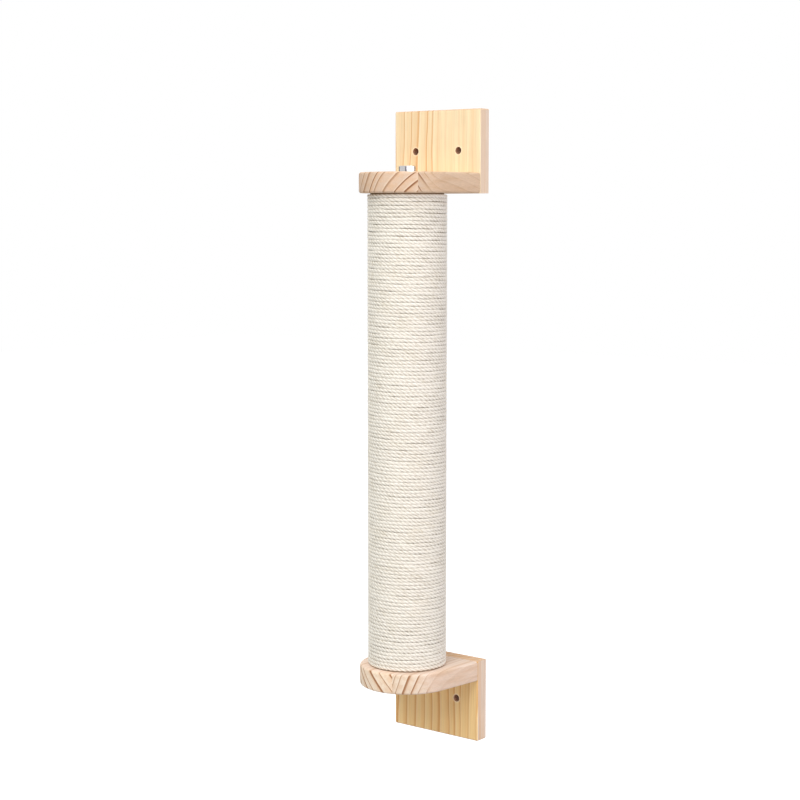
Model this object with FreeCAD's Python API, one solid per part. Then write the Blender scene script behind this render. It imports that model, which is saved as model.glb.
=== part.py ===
import FreeCAD, Part
import math
import os

from FreeCAD import Vector

# Wall mounted scratching post: two pine brackets hold a rope-wound post between them.
# Millimetres. X runs along the wall, Y into the wall, Z up. The wall is the plane Y = 0.
# The origin is on the wall, at the middle of the four wall screw holes.

# ---------------------------------------------------------------- driving dimensions
overall_height = 535.0          # outer end of one wall plate to outer end of the other
post_length = 396.0             # between the shelves' inner faces

# wall plate
plate_width = 90.0
plate_thickness = 12.0
plate_edge_bevel = 0.8
wall_hole_diameter = 6.0
wall_hole_spacing = 45.0        # across the plate
wall_hole_inset = 34.0          # from the plate's outer end

# shelf
shelf_thickness = 17.0
shelf_nose_radius = 40.0        # the nose is round about the post's axis
post_axis_reach = 40.0          # from the plate's front face to the post's axis
shelf_edge_bevel = 1.5

# glued dowels that join each shelf to its plate
dowel_diameter = 6.0
dowel_length = 30.0
dowel_depth_in_plate = 8.0
dowel_spacing = 50.0

# hexagon bolt that clamps each shelf to the post
bolt_diameter = 8.0
bolt_length = 35.0
bolt_head_across_flats = 13.0
bolt_head_height = 5.3
bolt_head_bevel = 0.8

# threaded insert in each end plug
insert_diameter = 12.0
insert_length = 20.0
insert_bore_depth = 22.0

# post tube, its wooden end plugs and the brads that hold them
tube_outer_diameter = 61.0
tube_wall = 4.5
plug_length = 25.0
brad_width = 1.3                # brads are square in section
brad_length = 16.0
brad_count = 4
brad_depth = 14.0               # brads' height below the end of the tube

# rope
rope_diameter = 2.6
rope_turn_gap = 0.45            # between one turn and the next
rope_wound_turns = 10           # turns modelled at each end of the post
rope_bend_radius = 2.7          # where the rope's end turns in through the tube's rim
rope_sides = 4                  # the rope's section is a square that stands on a corner
rope_end_room = 0.45            # between a shelf and the nearest turn
notch_width = 5.4               # cut in the tube's rim for the rope's end
notch_floor_room = 0.9          # between the rope's end and the notch's floor
ramp_steps = 12                 # steps in which the plain stretch climbs under the last turn
points_per_arc = 18             # at which the rope's gap to itself is measured

# clearances
bolt_hole_clearance = 0.5       # on the radius, bolt through shelf
fit_clearance = 0.05            # all round a dowel, insert, brad or bolt in its hole
dowel_end_room = 0.5            # at each end of a dowel, for glue
plug_clearance = 0.1            # on the radius, plug in tube
glue_line = 0.1                 # between the tube and the rope on it
tuck_clearance = 0.3            # between the rope's end and the plug

# ---------------------------------------------------------------- sizes worked out
plate_height = (overall_height - post_length) / 2
shelf_z = post_length / 2                   # inner face of the upper shelf
plate_top_z = overall_height / 2
plate_front_y = -plate_thickness
post_axis_y = plate_front_y - post_axis_reach
bolt_seat_z = shelf_z + shelf_thickness

tube_radius = tube_outer_diameter / 2
tube_bore_radius = tube_radius - tube_wall
plug_radius = tube_bore_radius - plug_clearance
rope_radius = rope_diameter / 2
rope_pitch = rope_diameter + rope_turn_gap
rope_path_radius = tube_radius + glue_line + rope_radius
wound_radius = rope_path_radius + rope_radius

POST_AXIS = Vector(0, post_axis_y, 0)
DOWN = Vector(0, 0, -1)
TO_WALL = Vector(0, 1, 0)
FROM_WALL = Vector(0, -1, 0)


# ---------------------------------------------------------------- helpers
def flipped(shape):
    """The same piece at the other end of the post: half a turn about the Y axis."""
    copy = shape.copy()
    copy.rotate(Vector(0, 0, 0), TO_WALL, 180)
    return copy


def pointed(shape, tip, direction):
    """Set a piece that was made along +Z at tip, with +Z along direction."""
    placed = shape.copy()
    placed.Placement = FreeCAD.Placement(tip, FreeCAD.Rotation(Vector(0, 0, 1), direction))
    return placed


def on_post(shape):
    """Move a piece that was made about the Z axis onto the post's axis."""
    moved = shape.copy()
    moved.translate(POST_AXIS)
    return moved


def wall_hole_places():
    """Centres of the upper plate's wall holes, on the wall."""
    z = plate_top_z - wall_hole_inset
    return [Vector(side * wall_hole_spacing / 2, 0, z) for side in (-1, 1)]


def dowel_places():
    """Centres of the upper bracket's dowel ends, inside the plate."""
    y = plate_front_y + dowel_depth_in_plate
    z = shelf_z + shelf_thickness / 2
    return [Vector(side * dowel_spacing / 2, y, z) for side in (-1, 1)]


# ---------------------------------------------------------------- bracket
def bracket_dowels():
    """The two dowels of the upper bracket, part in the plate and part in the shelf."""
    dowel = Part.makeCylinder(dowel_diameter / 2, dowel_length)
    return Part.makeCompound([pointed(dowel, place, FROM_WALL) for place in dowel_places()])


def dowel_holes():
    """The room that the upper bracket's dowels take in the plate and the shelf."""
    radius = dowel_diameter / 2 + fit_clearance
    hole = Part.makeCylinder(radius, dowel_length + 2 * dowel_end_room, Vector(0, 0, -dowel_end_room))
    return [pointed(hole, place, FROM_WALL) for place in dowel_places()]


def wall_plate():
    """Upper wall plate: bevelled board with two wall holes and two blind dowel holes."""
    corner = Vector(-plate_width / 2, plate_front_y, plate_top_z - plate_height)
    board = Part.makeBox(plate_width, plate_thickness, plate_height, corner)
    eased = [edge for edge in board.Edges if is_free_plate_edge(edge)]
    board = board.makeChamfer(plate_edge_bevel, eased)
    wall_hole = Part.makeCylinder(wall_hole_diameter / 2, plate_thickness)
    wall_holes = [pointed(wall_hole, place, FROM_WALL) for place in wall_hole_places()]
    return board.cut(wall_holes + dowel_holes())


def is_free_plate_edge(edge):
    """True for the plate's edges in front and above, away from the wall and the shelf."""
    box = edge.BoundBox
    at_front = box.YMax < plate_front_y + plate_edge_bevel
    at_inner_end = box.ZMax < shelf_z + plate_edge_bevel
    crosses_board = box.YLength > plate_edge_bevel
    at_wall = not at_front and not crosses_board
    return not at_inner_end and not at_wall


def shelf_outline():
    """Closed outline: square to the plate at the back, round about the post's axis in front."""
    half = plate_width / 2
    centre = Vector(0, post_axis_y, 0)
    corner = Vector(half, plate_front_y, 0)
    spoke = corner - centre
    lean = math.atan2(spoke.y, spoke.x) - math.acos(shelf_nose_radius / spoke.Length)
    right = centre + Vector(math.cos(lean), math.sin(lean), 0) * shelf_nose_radius
    left = Vector(-right.x, right.y, 0)
    left_corner = Vector(-half, plate_front_y, 0)
    nose = centre + FROM_WALL * shelf_nose_radius
    return Part.Wire([Part.makeLine(left_corner, left),
                      Part.Arc(left, nose, right).toShape(),
                      Part.makeLine(right, corner),
                      Part.makeLine(corner, left_corner)])


def shelf():
    """Upper shelf: board with a round nose, a bolt hole and two dowel holes at its back."""
    board = Part.Face(shelf_outline()).extrude(Vector(0, 0, shelf_thickness))
    board.translate(Vector(0, 0, shelf_z))
    eased = [edge for edge in board.Edges
             if edge.BoundBox.ZLength < shelf_edge_bevel
             and edge.BoundBox.YMin < plate_front_y - shelf_edge_bevel]
    board = board.makeChamfer(shelf_edge_bevel, eased)
    bolt_hole = Part.makeCylinder(bolt_diameter / 2 + bolt_hole_clearance, shelf_thickness,
                                  Vector(0, post_axis_y, shelf_z))
    return board.cut([bolt_hole] + dowel_holes())


# ---------------------------------------------------------------- post
def hex_head():
    """Hexagon head on the Z axis from height 0 up, its upper edges bevelled."""
    across_corners = bolt_head_across_flats / math.cos(math.pi / 6)
    corners = [Vector(math.cos(i * math.pi / 3), math.sin(i * math.pi / 3), 0) * (across_corners / 2)
               for i in range(6)]
    prism = Part.Face(Part.makePolygon(corners + corners[:1])).extrude(Vector(0, 0, bolt_head_height))
    upper_edges = [edge for edge in prism.Edges if edge.BoundBox.ZMin > bolt_head_height / 2]
    return prism.makeChamfer(bolt_head_bevel, upper_edges)


def post_bolt():
    """Hexagon bolt through the upper shelf into the insert."""
    shank = Part.makeCylinder(bolt_diameter / 2, bolt_length, Vector(0, 0, -bolt_length))
    bolt = hex_head().fuse(shank).removeSplitter()
    bolt.translate(Vector(0, 0, bolt_seat_z))
    return on_post(bolt)


def plug_insert():
    """Threaded insert, flush with the plug's outer end."""
    foot = Vector(0, 0, shelf_z - insert_length)
    sleeve = Part.makeCylinder(insert_diameter / 2, insert_length, foot)
    bore = Part.makeCylinder(bolt_diameter / 2 + fit_clearance, insert_length, foot)
    return on_post(sleeve.cut(bore))


def brad_angles():
    """Directions of the brads about the post's axis, in degrees."""
    first = 180 / brad_count
    return [first + i * 360 / brad_count for i in range(brad_count)]


def brad(clearance):
    """One headless brad on the X axis, driven in flush with the tube's outside."""
    width = brad_width + 2 * clearance
    corner = Vector(tube_radius - brad_length, -width / 2, shelf_z - brad_depth - width / 2)
    return Part.makeBox(brad_length, width, width, corner)


def brads(clearance=0):
    """The ring of brads through the tube's wall into the upper plug."""
    ring = []
    for angle in brad_angles():
        pin = brad(clearance)
        pin.rotate(Vector(0, 0, 0), Vector(0, 0, 1), angle)
        ring.append(pin)
    return on_post(Part.makeCompound(ring))


def end_plug():
    """Turned wooden plug, bored for the insert and cut by the brads."""
    plug = Part.makeCylinder(plug_radius, plug_length, Vector(0, 0, shelf_z - plug_length))
    bore = Part.makeCylinder(insert_diameter / 2 + fit_clearance, insert_bore_depth,
                             Vector(0, 0, shelf_z - insert_bore_depth))
    return on_post(plug.cut(bore)).cut(brads(fit_clearance))


def rim_notch():
    """The cut in the tube's upper rim that lets the rope's end in, on the side to the wall."""
    depth = rope_end_room + rope_diameter + notch_floor_room
    corner = Vector(-notch_width / 2, 0, shelf_z - depth)
    return on_post(Part.makeBox(notch_width, tube_outer_diameter, depth, corner))


def post_tube():
    """Tube between the shelves, with a rope notch and brad holes at each end."""
    tube = Part.makeCylinder(tube_radius, post_length, Vector(0, 0, -shelf_z))
    tube = on_post(tube.cut(Part.makeCylinder(tube_bore_radius, post_length, Vector(0, 0, -shelf_z))))
    upper_cuts = [rim_notch(), brads(fit_clearance)]
    return tube.cut(upper_cuts + [flipped(cut) for cut in upper_cuts])


# ---------------------------------------------------------------- rope
def winding_start_angle():
    """Angle at which the rope joins the helix, past the notch by the swing of its bend."""
    return math.pi / 2 + math.asin(rope_bend_radius / (rope_path_radius - rope_bend_radius))


def helix_point(turns):
    """Point on the winding's centre line, so many turns after the start of the helix."""
    angle = winding_start_angle() + turns * 2 * math.pi
    height = shelf_z - rope_end_room - rope_radius - turns * rope_pitch
    return Vector(rope_path_radius * math.cos(angle), rope_path_radius * math.sin(angle), height)


def helix_direction(turns):
    """Unit tangent of the winding's centre line, the way the rope descends."""
    angle = winding_start_angle() + turns * 2 * math.pi
    run = Vector(-math.sin(angle), math.cos(angle), 0) * (2 * math.pi * rope_path_radius)
    return (run + DOWN * rope_pitch).normalize()


def arc_from_tangents(start, corner, end):
    """Arc from start to end whose end tangents meet at corner, equally far from both."""
    middle = (start + end) / 2
    reach = (corner - start).Length
    half_chord = (end - start).Length / 2
    rise = corner - middle
    radius = reach * half_chord / rise.Length
    sagitta = radius * (1 - half_chord / reach)
    return Part.Arc(start, middle + rise.normalize() * sagitta, end).toShape()


def biarc(start, start_direction, end, end_direction):
    """Two arcs from start to end, tangent to both directions and to each other."""
    chord = end - start
    both = start_direction + end_direction
    a = both.dot(both) - 4
    b = -2 * chord.dot(both)
    c = chord.dot(chord)
    reach = (-b - math.sqrt(b * b - 4 * a * c)) / (2 * a)
    first_corner = start + start_direction * reach
    second_corner = end - end_direction * reach
    joint = (first_corner + second_corner) / 2
    return [arc_from_tangents(start, first_corner, joint), arc_from_tangents(joint, second_corner, end)]


def tucked_end():
    """Straight run out of the notch and the bend that lays the rope on the tube."""
    start = helix_point(0)
    along = helix_direction(0)
    inward = Vector(-start.x, -start.y, 0).normalize()
    swing = winding_start_angle()
    centre = start + inward * rope_bend_radius

    def on_bend(angle):
        return centre - (inward * math.cos(angle) + along * math.sin(angle)) * rope_bend_radius

    bend_end = on_bend(swing)
    out_of_notch = along * math.cos(swing) - inward * math.sin(swing)
    depth = math.hypot(bend_end.x, bend_end.y) - plug_radius - tuck_clearance
    tip = bend_end - out_of_notch * depth
    return [Part.makeLine(tip, bend_end), Part.Arc(bend_end, on_bend(swing / 2), start).toShape()]


def rope_path():
    """Centre line of the upper wound stretch: tucked end, turns, and a straight last run."""
    edges = tucked_end()
    for half_turn in range(2 * rope_wound_turns):
        begin = half_turn / 2
        end = begin + 0.5
        edges += biarc(helix_point(begin), helix_direction(begin), helix_point(end), helix_direction(end))
    last = helix_point(rope_wound_turns)
    edges.append(Part.makeLine(last, last + helix_direction(rope_wound_turns) * rope_diameter))
    return Part.Wire(edges)


def rope_stretch():
    """Upper wound stretch: one unbroken tube of square section along its centre line."""
    path = rope_path()
    first = path.Edges[0]
    heading = first.tangentAt(first.FirstParameter)
    side = heading.cross(Vector(0, 0, 1)).normalize()
    upright = side.cross(heading)
    origin = first.valueAt(first.FirstParameter)
    corners = []
    for i in range(rope_sides):
        angle = i * 2 * math.pi / rope_sides
        corners.append(origin + (side * math.cos(angle) + upright * math.sin(angle)) * rope_radius)
    pipe = Part.BRepOffsetAPI.MakePipeShell(path)
    pipe.add(Part.makePolygon(corners + corners[:1]))
    pipe.build()
    pipe.makeSolid()
    report_rope(path, pipe.shape())
    return on_post(pipe.shape())


def report_rope(path, solid):
    """Print the wound stretch's length, its least gap to itself and how well it fills its path."""
    points = []
    travelled = []
    gone = 0.0
    for edge in path.OrderedEdges:
        for point in edge.discretize(Number=points_per_arc)[1:]:
            gone += (point - points[-1]).Length if points else 0.0
            points.append(point)
            travelled.append(gone)
    least = min((points[j] - points[i]).Length
                for i in range(len(points)) for j in range(i + 1, len(points))
                if travelled[j] - travelled[i] > 4 * rope_diameter)
    section = rope_sides / 2 * rope_radius ** 2 * math.sin(2 * math.pi / rope_sides)
    print("rope stretch: %d turns, %.0f mm long, least gap to itself %.2f mm, volume ratio %.3f"
          % (rope_wound_turns, path.Length, least - rope_diameter, solid.Volume / (section * path.Length)))


def ring_sector(bottom, height, start, sweep):
    """Part of the plain stretch's ring, over sweep degrees from start degrees."""
    outer = Part.makeCylinder(wound_radius, height, Vector(0, 0, bottom), Vector(0, 0, 1), sweep)
    inner = Part.makeCylinder(tube_radius + glue_line, height, Vector(0, 0, bottom))
    sector = outer.cut(inner)
    sector.rotate(Vector(0, 0, 0), Vector(0, 0, 1), start)
    return sector


def plain_stretch_half():
    """Upper half of the close winding between the wound stretches, drawn plain.

    Its end climbs in steps under the last turn, up to a wall that the rope's end meets square.
    """
    base = helix_point(rope_wound_turns).z - rope_radius - rope_turn_gap
    start = math.degrees(winding_start_angle())
    sweep = 360 / ramp_steps
    steps = [ring_sector(0, base + rope_pitch * (1 - (i + 1) / ramp_steps), start + i * sweep, sweep)
             for i in range(ramp_steps)]
    ring = steps[0].fuse(steps[1:]).removeSplitter()
    room = Part.makeBox(2 * rope_diameter, rope_diameter, 2 * rope_pitch,
                        Vector(rope_path_radius - rope_diameter, 0, base))
    room.rotate(Vector(0, 0, 0), Vector(0, 0, 1), start)
    return on_post(ring.cut(room))


def rope_winding():
    """The rope on the post: a wound stretch at each end and the plain one between them."""
    half = plain_stretch_half()
    plain = half.fuse(flipped(half)).removeSplitter()
    wound = rope_stretch()
    return Part.makeCompound([wound, plain, flipped(wound)])


# ---------------------------------------------------------------- write the pieces
paired_pieces = {
    "wall_plate": wall_plate,
    "shelf": shelf,
    "bracket_dowels": bracket_dowels,
    "post_bolt": post_bolt,
    "plug_insert": plug_insert,
    "end_plug": end_plug,
    "plug_brads": brads,
}
nodes = {"post_tube": post_tube(), "rope_winding": rope_winding()}
for name, make in paired_pieces.items():
    nodes["upper_" + name] = make()
    nodes["lower_" + name] = flipped(nodes["upper_" + name])

os.makedirs("parts", exist_ok=True)
for name, shape in nodes.items():
    shape.exportStep("parts/" + name + ".step")
    print(name, "solids:", len(shape.Solids), "valid:", shape.isValid(),
          "volume: %.1f cm3" % (shape.Volume / 1000))
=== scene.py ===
"""Looks of the wall mounted cat scratching post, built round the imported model.

Metres, in the model's own frame: the wall is the plane Y = 0, the post stands along Z in front of it.
"""
import logging
import math
from dataclasses import dataclass
from enum import Enum
from functools import reduce

import bpy
import numpy as np
from mathutils import Matrix, Vector


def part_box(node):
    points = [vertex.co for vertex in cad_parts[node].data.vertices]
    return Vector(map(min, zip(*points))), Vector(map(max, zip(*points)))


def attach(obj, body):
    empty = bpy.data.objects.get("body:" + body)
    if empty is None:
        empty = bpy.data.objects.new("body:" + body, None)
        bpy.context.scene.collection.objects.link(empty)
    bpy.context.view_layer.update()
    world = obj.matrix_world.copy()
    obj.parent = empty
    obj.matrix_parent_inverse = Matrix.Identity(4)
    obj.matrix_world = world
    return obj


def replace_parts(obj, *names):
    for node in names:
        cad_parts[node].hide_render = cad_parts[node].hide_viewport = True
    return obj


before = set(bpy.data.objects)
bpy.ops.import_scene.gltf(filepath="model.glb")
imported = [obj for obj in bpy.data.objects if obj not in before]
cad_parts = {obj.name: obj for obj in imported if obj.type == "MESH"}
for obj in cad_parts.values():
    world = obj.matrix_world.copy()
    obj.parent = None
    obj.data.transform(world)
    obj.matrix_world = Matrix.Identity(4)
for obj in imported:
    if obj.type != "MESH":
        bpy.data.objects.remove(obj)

BODY = "root"
MM = 0.001
LOG = logging.getLogger("scratching_post")

Colour = tuple[float, float, float]
Value = bpy.types.NodeSocket | float | tuple


def srgb(red: int, green: int, blue: int) -> Colour:
    """Turn a screen colour into the linear one that shaders use.

    Each channel c in 0..1 becomes ((c + 0.055) / 1.055) ** 2.4, which is close enough for every
    colour here.

    Args:
        red: Red, 0 to 255.
        green: Green, 0 to 255.
        blue: Blue, 0 to 255.

    Returns:
        The linear red, green and blue.
    """
    return tuple(((channel / 255 + 0.055) / 1.055) ** 2.4 for channel in (red, green, blue))


# ---------------------------------------------------------------- meshes
def corners_of(grid: np.ndarray) -> np.ndarray:
    """List the four corners of every cell of a grid.

    Args:
        grid: Values on grid points, rows by columns by anything.

    Returns:
        The values at each cell's corners, in order round the cell: cells by 4 by anything.
    """
    cells = np.stack([grid[:-1, :-1], grid[:-1, 1:], grid[1:, 1:], grid[1:, :-1]], axis=2)
    return cells.reshape(-1, 4, *grid.shape[2:])


def signed_volume(points: np.ndarray, quads: np.ndarray) -> float:
    """Volume inside a closed surface, negative where its faces point inwards.

    It adds up a . (b x c) / 6 over the two triangles of each four-sided face.

    Args:
        points: Vertex places.
        quads: Four vertex numbers a face.

    Returns:
        The signed volume.
    """
    a, b, c, d = (points[quads[:, i]] for i in range(4))
    halves = np.einsum("ij,ij->i", a, np.cross(b, c)) + np.einsum("ij,ij->i", a, np.cross(c, d))
    return float(halves.sum() / 6)


def wave(place: np.ndarray, rate: float, swing: float = 0.0, slow_rate: float = 0.0,
         phase: float = 0.0) -> np.ndarray:
    """Uneven wave: sin(rate * place + swing * sin(slow_rate * place) + phase).

    Args:
        place: Length or angle along which the wave runs.
        rate: Its rate, in radians a unit of place.
        swing: How far, in radians, a slow wave pushes it to and fro.
        slow_rate: The slow wave's rate.
        phase: Radians at place 0.

    Returns:
        Values from -1 to 1.
    """
    return np.sin(rate * place + swing * np.sin(slow_rate * place) + phase)


def linked(name: str, data: bpy.types.ID) -> bpy.types.Object:
    """Make an object of a mesh, lamp or camera and link it to the scene.

    Args:
        name: The object's name.
        data: What it shows.

    Returns:
        The object.
    """
    piece = bpy.data.objects.new(name, data)
    bpy.context.scene.collection.objects.link(piece)
    return piece


def smooth(mesh: bpy.types.Mesh, sharp_angle: float) -> None:
    """Shade a mesh smooth, apart from its sharp edges.

    Args:
        mesh: The mesh.
        sharp_angle: Edges that turn by more than this, in degrees, stay sharp.
    """
    mesh.polygons.foreach_set("use_smooth", np.ones(len(mesh.polygons), bool))
    mesh.set_sharp_from_angle(angle=math.radians(sharp_angle))
    mesh.update()


def dress(piece: bpy.types.Object, material: bpy.types.Material) -> None:
    """Give a piece one material in place of what it had."""
    piece.data.materials.clear()
    piece.data.materials.append(material)


def surface(name: str, points: np.ndarray, *, wrap_rows: bool = False, caps: bool = False,
            uv: np.ndarray | None = None, sharp_angle: float = 35.0) -> bpy.types.Object:
    """Make an object from points on a grid whose columns close on themselves.

    Args:
        name: The piece's name.
        points: Rows by columns by 3, in metres.
        wrap_rows: Whether the last row joins the first.
        caps: Whether a flat face closes the first and the last row.
        uv: Rows by columns + 1 by 2, the surface's own coordinates, if it has them.
        sharp_angle: Edges that turn by more than this, in degrees, stay sharp.

    Returns:
        The object, linked to the scene, at the origin.
    """
    rows, columns = points.shape[:2]
    numbers = np.arange(rows * columns).reshape(rows, columns)
    numbers = np.pad(numbers, ((0, int(wrap_rows)), (0, 1)), mode="wrap")
    flat = points.reshape(-1, 3)
    quads = corners_of(numbers)
    inside_out = signed_volume(flat - flat.mean(axis=0), quads) < 0
    turn = -1 if inside_out else 1
    faces = quads[:, ::turn].tolist()
    if caps:
        faces += [numbers[0, :-1][::-turn].tolist(), numbers[-1, :-1][::turn].tolist()]
    mesh = bpy.data.meshes.new(name)
    mesh.from_pydata(flat.tolist(), [], faces)
    if uv is not None:
        layer = mesh.uv_layers.new(name="along")
        values = np.zeros((len(mesh.loops), 2), np.float32)
        values[:quads.size] = corners_of(uv)[:, ::turn].reshape(-1, 2)
        layer.data.foreach_set("uv", values.ravel())
    mesh.validate()
    smooth(mesh, sharp_angle)
    return linked(name, mesh)


# ---------------------------------------------------------------- shader nodes
class Shading:
    """Short ways to add and join the nodes of one material or node group."""

    def __init__(self, tree: bpy.types.NodeTree) -> None:
        """Keep the tree that the nodes go into."""
        self.tree = tree

    def put(self, socket: bpy.types.NodeSocket, value: Value) -> None:
        """Link a socket to another one, or set it to a constant.

        Args:
            socket: The input.
            value: The other socket, or the constant.
        """
        if isinstance(value, bpy.types.NodeSocket):
            self.tree.links.new(value, socket)
        elif socket.type == "RGBA" and len(value) == 3:
            socket.default_value = (*value, 1.0)
        else:
            socket.default_value = value

    def add(self, kind: str, inputs: dict | None = None, **settings: object) -> bpy.types.Node:
        """Add a node.

        Args:
            kind: The node's type, without the word ShaderNode.
            inputs: Constants or sockets by input name or number.
            **settings: The node's own properties.

        Returns:
            The node.
        """
        node = self.tree.nodes.new("ShaderNode" + kind)
        for key, value in settings.items():
            setattr(node, key, value)
        for key, value in (inputs or {}).items():
            self.put(node.inputs[key], value)
        return node

    def math(self, operation: str, *values: Value, clamp: bool = False) -> bpy.types.NodeSocket:
        """Result of a Math node on the given values."""
        return self.add("Math", dict(enumerate(values)), operation=operation, use_clamp=clamp).outputs[0]

    def times(self, first: Value, *others: Value) -> bpy.types.NodeSocket:
        """Product of the given values."""
        return reduce(lambda product, other: self.math("MULTIPLY", product, other), others, first)

    def vector(self, operation: str, *values: Value) -> bpy.types.NodeSocket:
        """Result of a Vector Math node on the given values, a number where the operation gives one."""
        node = self.add("VectorMath", dict(enumerate(values)), operation=operation)
        return node.outputs["Value" if operation == "LENGTH" else "Vector"]

    def scaled(self, vector: Value, scale: Value) -> bpy.types.NodeSocket:
        """A vector times a number."""
        return self.add("VectorMath", {0: vector, "Scale": scale}, operation="SCALE").outputs["Vector"]

    def split(self, vector: Value) -> list[bpy.types.NodeSocket]:
        """The X, Y and Z of a vector."""
        return list(self.add("SeparateXYZ", {0: vector}).outputs)

    def joined(self, x: Value, y: Value, z: Value) -> bpy.types.NodeSocket:
        """A vector from its X, Y and Z."""
        return self.add("CombineXYZ", {0: x, 1: y, 2: z}).outputs[0]

    def noise(self, position: Value, scale: float, detail: float = 2.0,
              roughness: float = 0.5) -> bpy.types.NodeSocket:
        """Value of a three-dimensional noise, about 0.5 on average."""
        inputs = {"Vector": position, "Scale": scale, "Detail": detail, "Roughness": roughness}
        return self.add("TexNoise", inputs).outputs["Fac"]

    def fade(self, value: Value, start: float, end: float, low: float = 0.0,
             high: float = 1.0) -> bpy.types.NodeSocket:
        """Smooth change from low to high as a value goes from start to end."""
        inputs = {"Value": value, "From Min": start, "From Max": end, "To Min": low, "To Max": high}
        return self.add("MapRange", inputs, interpolation_type="SMOOTHSTEP").outputs["Result"]

    def mix(self, share: Value, first: Value, second: Value, blend: str = "MIX") -> bpy.types.NodeSocket:
        """Blend of two colours, the second one by the given share."""
        inputs = {0: share, 6: first, 7: second}
        return self.add("Mix", inputs, data_type="RGBA", blend_type=blend).outputs[2]

    def layered(self, base: Value, *layers: tuple[Value, Value]) -> Value:
        """A base colour with others laid over it in turn, each layer a share and a colour."""
        return reduce(lambda below, layer: self.mix(layer[0], below, layer[1]), layers, base)

    def facing(self) -> list[bpy.types.NodeSocket]:
        """How much the surface faces along X, Y and Z, either way, 0 to 1."""
        return [self.math("ABSOLUTE", part) for part in self.split(self.add("TexCoord").outputs["Normal"])]

    def group(self, tree: bpy.types.NodeTree, **inputs: Value) -> bpy.types.bpy_prop_collection:
        """Place a node group.

        Args:
            tree: The group.
            **inputs: Constants or sockets by input name, with underscores for spaces.

        Returns:
            The group's outputs.
        """
        node = self.tree.nodes.new("ShaderNodeGroup")
        node.node_tree = tree
        for key, value in inputs.items():
            self.put(node.inputs[key.replace("_", " ")], value)
        return node.outputs

    def bumped(self, height: Value, distance: float) -> bpy.types.NodeSocket:
        """Normal raised by a height, in metres at a height of 1."""
        return self.add("Bump", {"Height": height, "Distance": distance}).outputs[0]


class Finish:
    """A material under way: its nodes, its Principled shader and its output."""

    def __init__(self, name: str) -> None:
        """Start an empty material.

        Args:
            name: The material's name.
        """
        self.material = bpy.data.materials.new(name)
        self.material.use_nodes = True
        self.material.node_tree.nodes.clear()
        self.nodes = Shading(self.material.node_tree)
        self.shader = self.nodes.add("BsdfPrincipled")
        self.nodes.add("OutputMaterial", {"Surface": self.shader.outputs[0]})

    def set(self, **inputs: Value) -> None:
        """Set or link inputs of the Principled shader, named with underscores for spaces."""
        for key, value in inputs.items():
            self.nodes.put(self.shader.inputs[key.replace("_", " ")], value)

    def object_position(self) -> bpy.types.NodeSocket:
        """Place on the piece, in millimetres."""
        where = self.nodes.add("TexCoord").outputs["Object"]
        return self.nodes.vector("MULTIPLY", where, (1 / MM,) * 3)


def new_group(name: str, inputs: dict[str, str], outputs: dict[str, str]
              ) -> tuple[bpy.types.NodeTree, Shading, bpy.types.bpy_prop_collection,
                         bpy.types.bpy_prop_collection]:
    """Start a shader node group.

    Args:
        name: The group's name.
        inputs: Socket types by input name.
        outputs: Socket types by output name.

    Returns:
        The group's tree, its nodes, the sockets that give its inputs and those that take its outputs.
    """
    tree = bpy.data.node_groups.new(name, "ShaderNodeTree")
    for way, sockets in (("INPUT", inputs), ("OUTPUT", outputs)):
        for label, kind in sockets.items():
            tree.interface.new_socket(name=label, in_out=way, socket_type="NodeSocket" + kind)
    source = tree.nodes.new("NodeGroupInput")
    sink = tree.nodes.new("NodeGroupOutput")
    return tree, Shading(tree), source.outputs, sink.inputs


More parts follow.
